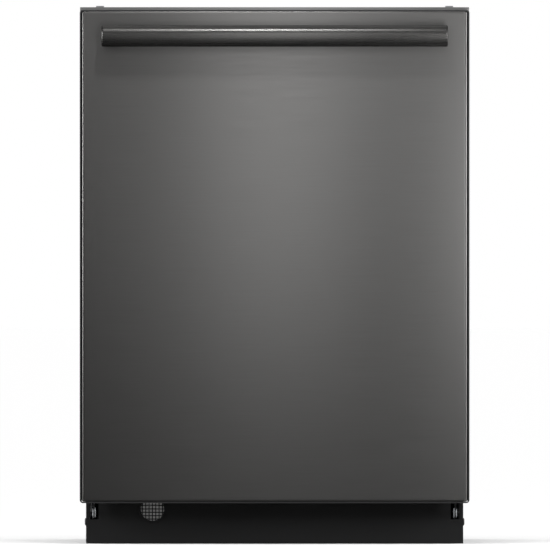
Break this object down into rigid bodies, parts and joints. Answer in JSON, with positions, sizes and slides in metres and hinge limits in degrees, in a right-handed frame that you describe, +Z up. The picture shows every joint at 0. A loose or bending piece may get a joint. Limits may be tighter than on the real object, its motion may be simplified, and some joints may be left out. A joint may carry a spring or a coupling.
{
  "type": "built in dishwasher",
  "caption": "Built-in dishwasher with a dark brushed door, a bar handle, a recessed toe panel with a round vent, two racks, spray arms and a drop-down door.",
  "frame": {"origin": "on the floor, at the middle of the overall width and depth, door closed", "axes": "+Z up, the door faces -Y, +X to the right of someone facing the door"},
  "size_m": [0.606, 0.6352, 0.838],
  "materials": {
    "black_stainless": "horizontally brushed satin",
    "dark_edge": "satin black",
    "toe_black": "fine matte",
    "stainless": "brushed",
    "zinc_steel": "bright zinc plate",
    "spring_steel": "drawn wire",
    "grey_plastic": "moulded",
    "light_plastic": "moulded",
    "dark_plastic": "moulded",
    "black_rubber": "matte",
    "grey_rubber": "matte",
    "rack_coating": "vinyl coated wire",
    "felt": "pressed felt",
    "heater_steel": "oxidised"
  },
  "bodies": {
    "cabinet": {"base_pan": "dark_plastic", "side_rails": "zinc_steel", "door_springs": "spring_steel", "tub_wrapper": "stainless", "tub_back": "stainless", "tub_floor": "stainless", "front_frame": "stainless", "tub_gasket": "grey_rubber", "counter_brackets": "zinc_steel", "insulation_blanket": "felt", "toe_panel": "toe_black", "toe_vent_grille": "toe_black", "base_screws": "dark_edge", "sump": "grey_plastic", "fine_filter": "stainless", "circulation_pump": "dark_plastic", "drain_pump": "dark_plastic", "inlet_valve": "light_plastic", "junction_box": "zinc_steel", "feed_tube": "grey_plastic", "heating_element": "heater_steel", "latch_strike": "zinc_steel", "rail_guides": "grey_plastic"},
    "leg_front_left": {"leg_front_left": "zinc_steel"},
    "leg_front_right": {"leg_front_right": "zinc_steel"},
    "leg_rear_left": {"leg_rear_left": "zinc_steel"},
    "leg_rear_right": {"leg_rear_right": "zinc_steel"},
    "pulleys": {"cable_pulleys": "light_plastic"},
    "filter_cup": {"filter_cup": "grey_plastic"},
    "float_dome": {"float_dome": "light_plastic"},
    "lower_spray_arm": {"lower_spray_arm": "grey_plastic"},
    "top_spray_arm": {"top_spray_arm": "grey_plastic"},
    "door": {"hinge_arms": "zinc_steel", "door_frame": "dark_edge", "door_panel": "black_stainless", "handle_bar": "black_stainless", "handle_posts": "dark_edge", "door_liner": "stainless", "door_insulation": "felt", "control_console": "dark_edge", "dispenser_body": "grey_plastic", "door_bottom_seal": "black_rubber", "door_screws": "zinc_steel"},
    "button_power": {"button_power": "dark_edge"},
    "button_cycle": {"button_cycle": "dark_edge"},
    "button_option": {"button_option": "dark_edge"},
    "button_start": {"button_start": "dark_edge"},
    "latch_hook": {"latch_hook": "zinc_steel"},
    "dispenser_lid": {"dispenser_lid": "grey_plastic"},
    "rinse_cap": {"rinse_cap": "dark_plastic"},
    "lower_rack": {"lower_rack": "rack_coating", "silverware_basket": "grey_plastic"},
    "wheels_front": {"lower_wheels_front": "light_plastic"},
    "wheels_rear": {"lower_wheels_rear": "light_plastic"},
    "fold_tines": {"fold_tines": "rack_coating"},
    "upper_rack": {"upper_rack": "rack_coating", "upper_manifold": "grey_plastic"},
    "rack_rails": {"upper_rack_rails": "stainless"},
    "cup_shelf": {"cup_shelf": "rack_coating"},
    "mid_spray_arm": {"mid_spray_arm": "grey_plastic"}
  },
  "joints": [
    {"name": "door_hinge", "type": "hinge", "parent": "cabinet", "child": "door", "pos_m": [0, -0.2365, 0.097], "axis": [1, 0, 0], "range_deg": [0, 90], "stiffness_Nm_per_rad": 28, "deforming": ["door_springs"]},
    {"name": "pulley_spin", "type": "hinge", "parent": "cabinet", "child": "pulleys", "pos_m": [0, -0.1905, 0.048], "axis": [1, 0, 0], "continuous": true},
    {"name": "leg_front_left_adjust", "type": "slide", "parent": "cabinet", "child": "leg_front_left", "axis": [0, 0, -1], "range_m": [0, 0.04]},
    {"name": "leg_front_right_adjust", "type": "slide", "parent": "cabinet", "child": "leg_front_right", "axis": [0, 0, -1], "range_m": [0, 0.04]},
    {"name": "leg_rear_left_adjust", "type": "slide", "parent": "cabinet", "child": "leg_rear_left", "axis": [0, 0, -1], "range_m": [0, 0.04]},
    {"name": "leg_rear_right_adjust", "type": "slide", "parent": "cabinet", "child": "leg_rear_right", "axis": [0, 0, -1], "range_m": [0, 0.04]},
    {"name": "filter_cup_turn", "type": "hinge", "parent": "cabinet", "child": "filter_cup", "pos_m": [0, -0.014, 0.08], "axis": [0, 0, 1], "range_deg": [0, 90]},
    {"name": "float_rise", "type": "slide", "parent": "cabinet", "child": "float_dome", "axis": [0, 0, 1], "range_m": [0, 0.01]},
    {"name": "lower_spray_arm_spin", "type": "hinge", "parent": "cabinet", "child": "lower_spray_arm", "pos_m": [0, 0.05, 0.14], "axis": [0, 0, 1], "continuous": true},
    {"name": "top_spray_arm_spin", "type": "hinge", "parent": "cabinet", "child": "top_spray_arm", "pos_m": [0, 0.05, 0.78], "axis": [0, 0, 1], "continuous": true},
    {"name": "button_power_press", "type": "slide", "parent": "door", "child": "button_power", "axis": [0, 0, -1], "range_m": [0, 0.0015], "stiffness_N_per_m": 400},
    {"name": "button_cycle_press", "type": "slide", "parent": "door", "child": "button_cycle", "axis": [0, 0, -1], "range_m": [0, 0.0015], "stiffness_N_per_m": 400},
    {"name": "button_option_press", "type": "slide", "parent": "door", "child": "button_option", "axis": [0, 0, -1], "range_m": [0, 0.0015], "stiffness_N_per_m": 400},
    {"name": "button_start_press", "type": "slide", "parent": "door", "child": "button_start", "axis": [0, 0, -1], "range_m": [0, 0.0015], "stiffness_N_per_m": 400},
    {"name": "latch_hook_turn", "type": "hinge", "parent": "door", "child": "latch_hook", "pos_m": [0, -0.2455, 0.812], "axis": [1, 0, 0], "range_deg": [-12, 0], "stiffness_Nm_per_rad": 0.4},
    {"name": "dispenser_lid_slide", "type": "slide", "parent": "door", "child": "dispenser_lid", "axis": [0, 0, -1], "range_m": [0, 0.06]},
    {"name": "rinse_cap_turn", "type": "hinge", "parent": "door", "child": "rinse_cap", "pos_m": [0.139, -0.214, 0.5675], "axis": [0, -1, 0], "range_deg": [0, 90]},
    {"name": "lower_rack_slide", "type": "slide", "parent": "cabinet", "child": "lower_rack", "axis": [0, -1, 0], "range_m": [0, 0.19]},
    {"name": "lower_wheels_front_spin", "type": "hinge", "parent": "lower_rack", "child": "wheels_front", "pos_m": [0, -0.05, 0.135], "axis": [1, 0, 0], "continuous": true},
    {"name": "lower_wheels_rear_spin", "type": "hinge", "parent": "lower_rack", "child": "wheels_rear", "pos_m": [0, 0.217, 0.135], "axis": [1, 0, 0], "continuous": true},
    {"name": "fold_tines_hinge", "type": "hinge", "parent": "lower_rack", "child": "fold_tines", "pos_m": [-0.1255, 0.056, 0.1685], "axis": [-1, 0, 0], "range_deg": [0, 90]},
    {"name": "rack_rails_slide", "type": "slide", "parent": "cabinet", "child": "rack_rails", "axis": [0, -1, 0], "range_m": [0, 0.24]},
    {"name": "upper_rack_slide", "type": "slide", "parent": "cabinet", "child": "upper_rack", "axis": [0, -1, 0], "range_m": [0, 0.475]},
    {"name": "cup_shelf_hinge", "type": "hinge", "parent": "upper_rack", "child": "cup_shelf", "pos_m": [-0.242, 0, 0.568], "axis": [0, -1, 0], "range_deg": [0, 88]},
    {"name": "mid_spray_arm_spin", "type": "hinge", "parent": "upper_rack", "child": "mid_spray_arm", "pos_m": [0, 0.05, 0.444], "axis": [0, 0, 1], "continuous": true}
  ],
  "couplings": [
    {"joint": "pulley_spin", "follows": "door_hinge", "ratio": -2.2},
    {"joint": "lower_rack_slide", "follows": "door_hinge", "m_per_rad": 0.12},
    {"joint": "lower_wheels_front_spin", "follows": "door_hinge", "ratio": 6.6667},
    {"joint": "lower_wheels_rear_spin", "follows": "door_hinge", "ratio": 6.6667},
    {"joint": "rack_rails_slide", "follows": "door_hinge", "m_per_rad": 0.15},
    {"joint": "upper_rack_slide", "follows": "door_hinge", "m_per_rad": 0.3}
  ]
}
